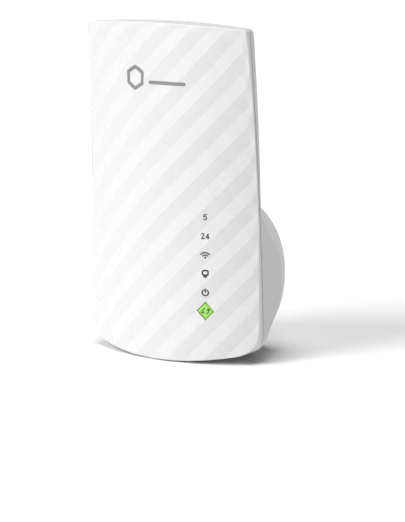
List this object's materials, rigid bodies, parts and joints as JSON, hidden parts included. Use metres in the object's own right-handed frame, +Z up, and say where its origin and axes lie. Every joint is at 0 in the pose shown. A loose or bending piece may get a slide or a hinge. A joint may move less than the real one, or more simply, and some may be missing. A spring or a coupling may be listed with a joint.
{
  "type": "wifi range extender",
  "caption": "Plug-in wifi range extender: crowned white housing with a diamond-embossed face, a rounded plug boss with flat blades, a sync button, status icons and a side network port.",
  "frame": {"origin": "centre of the plug boss's flat rear face, midway between the two blades", "axes": "+Y out of the plug face into the wall, along the blades; +Z up along the housing's length; the embossed face looks along -Y"},
  "size_m": [0.0658, 0.0552, 0.11],
  "materials": {
    "front_shell": "gloss white, embossed diamonds",
    "back_shell": "satin white",
    "label": "blank label film",
    "blade_metal": "nickel-plated brass",
    "black_plastic": "matte",
    "button_plastic": "translucent green",
    "natural_plastic": "natural nylon",
    "lamp_resin": "clear epoxy",
    "clear_plastic": "clear acrylic",
    "circuit_board": "green solder mask",
    "tinned_steel": "tinned",
    "chip_resin": "moulded resin",
    "thermal_pad": "soft silicone",
    "heat_sink_metal": "extruded",
    "black_wire": "smooth",
    "red_wire": "smooth",
    "contact_gold": "gold-plated",
    "ferrite": "sintered",
    "winding_tape": "polyester tape",
    "capacitor_sleeve": "shrink sleeve",
    "blue_ceramic": "epoxy-dipped",
    "fuse_body": "ceramic tube",
    "insulating_film": "thin film"
  },
  "bodies": {
    "housing": {"front_cover": "front_shell", "back_cover": "back_shell", "rating_label": "label", "line_blade": "blade_metal", "neutral_blade": "blade_metal", "blade_carrier": "black_plastic", "sync_switch_body": "black_plastic", "reset_switch_body": "black_plastic", "lamp_power": "lamp_resin", "lamp_wired": "lamp_resin", "lamp_signal": "lamp_resin", "lamp_band_low": "lamp_resin", "lamp_band_high": "lamp_resin", "lamp_sync": "lamp_resin", "light_guide": "clear_plastic", "light_blocker": "black_plastic", "main_board": "circuit_board", "shield_can": "tinned_steel", "processor": "chip_resin", "thermal_pad": "thermal_pad", "flash_chip": "chip_resin", "heat_sink": "heat_sink_metal", "board_screw_1": "tinned_steel", "board_screw_2": "tinned_steel", "board_screw_3": "tinned_steel", "power_screw_1": "tinned_steel", "power_screw_2": "tinned_steel", "antenna_low_band": "tinned_steel", "antenna_high_band": "tinned_steel", "antenna_lead_low": "black_wire", "antenna_lead_high": "black_wire", "network_jack": "natural_plastic", "jack_contacts": "contact_gold", "network_magnetics": "chip_resin", "power_board": "circuit_board", "transformer_core": "ferrite", "transformer_winding": "winding_tape", "bulk_capacitor_1": "capacitor_sleeve", "bulk_capacitor_2": "capacitor_sleeve", "output_capacitor": "capacitor_sleeve", "bridge_rectifier": "chip_resin", "switching_controller": "chip_resin", "safety_capacitor": "natural_plastic", "isolation_capacitor": "blue_ceramic", "fuse": "fuse_body", "choke": "ferrite", "power_connector": "natural_plastic", "lead_positive": "red_wire", "lead_negative": "black_wire", "insulating_sheet": "insulating_film"},
    "sync_key": {"sync_button": "button_plastic"},
    "sync_plunger": {"sync_switch_plunger": "natural_plastic"},
    "reset_plunger": {"reset_switch_plunger": "natural_plastic"}
  },
  "joints": [
    {"name": "sync_press", "type": "slide", "parent": "housing", "child": "sync_key", "axis": [0, 1, 0], "range_m": [0, 0.0006], "stiffness_N_per_m": 1500},
    {"name": "sync_plunger_press", "type": "slide", "parent": "housing", "child": "sync_plunger", "axis": [0, 1, 0], "range_m": [0, 0.0003]},
    {"name": "reset_press", "type": "slide", "parent": "housing", "child": "reset_plunger", "axis": [1, 0, 0], "range_m": [0, 0.0003], "stiffness_N_per_m": 1500}
  ],
  "couplings": [
    {"joint": "sync_plunger_press", "follows": "sync_press", "ratio": 0.5}
  ]
}
